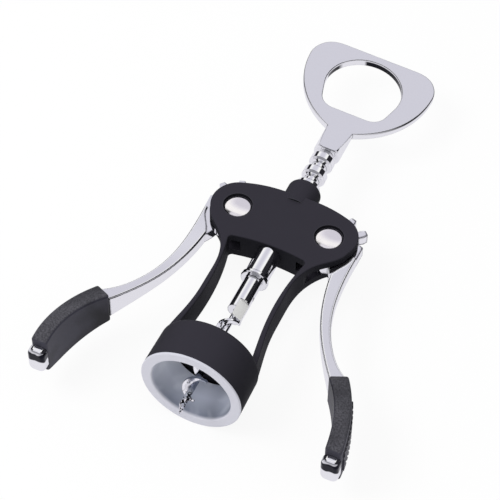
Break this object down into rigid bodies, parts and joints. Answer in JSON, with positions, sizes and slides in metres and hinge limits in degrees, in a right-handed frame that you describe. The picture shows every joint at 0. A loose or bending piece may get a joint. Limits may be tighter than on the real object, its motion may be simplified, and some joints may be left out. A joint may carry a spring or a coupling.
{
  "type": "wing corkscrew",
  "caption": "Winged corkscrew: a bell on a black lever frame, geared lever arms with grips, a screw on a ringed rack spindle and a flat bottle-opener head.",
  "frame": {"origin": "centre of the bell's mouth, on the screw axis", "axes": "+Y runs along the screw axis from the bell's mouth to the opener head, +X points to the right-hand pivot seen from the front, +Z points out of the frame's front face; it lies on its back"},
  "size_m": [0.1297, 0.2059, 0.042],
  "materials": {
    "black_paint": "satin",
    "liner_plastic": "frosted",
    "chrome_plate": "polished",
    "grip_rubber": "matte",
    "worm_steel": "satin",
    "washer_nylon": "matte"
  },
  "bodies": {
    "frame": {"frame_body": "black_paint", "bell_liner": "liner_plastic", "left_pivot_pin": "chrome_plate", "right_pivot_pin": "chrome_plate", "left_pivot_cap": "chrome_plate", "right_pivot_cap": "chrome_plate"},
    "rack_slider": {"stop_ring": "chrome_plate"},
    "spindle": {"rack_spindle": "chrome_plate", "opener_head": "chrome_plate", "worm_chuck": "chrome_plate", "worm": "worm_steel", "worm_pin": "worm_steel"},
    "left_wing": {"left_lever": "chrome_plate", "left_grip": "grip_rubber", "left_tip_cap": "chrome_plate", "left_lever_washers": "washer_nylon"},
    "right_wing": {"right_lever": "chrome_plate", "right_grip": "grip_rubber", "right_tip_cap": "chrome_plate", "right_lever_washers": "washer_nylon"}
  },
  "joints": [
    {"name": "rack_slide", "type": "slide", "parent": "frame", "child": "rack_slider", "axis": [0, 1, 0], "range_m": [-0.0186, 0.004]},
    {"name": "spindle_spin", "type": "hinge", "parent": "rack_slider", "child": "spindle", "pos_m": [0, 0.0604, 0], "axis": [0, 1, 0], "continuous": true},
    {"name": "right_lever_pivot", "type": "hinge", "parent": "frame", "child": "right_wing", "pos_m": [0.0201, 0.0873, 0], "axis": [0, 0, 1], "range_deg": [-15.05, 69.9]},
    {"name": "left_lever_pivot", "type": "hinge", "parent": "frame", "child": "left_wing", "pos_m": [-0.0201, 0.0873, 0], "axis": [0, 0, -1], "range_deg": [-15.05, 69.9]}
  ],
  "couplings": [
    {"joint": "right_lever_pivot", "follows": "rack_slide", "rad_per_m": -65.45},
    {"joint": "left_lever_pivot", "follows": "rack_slide", "rad_per_m": -65.45}
  ]
}
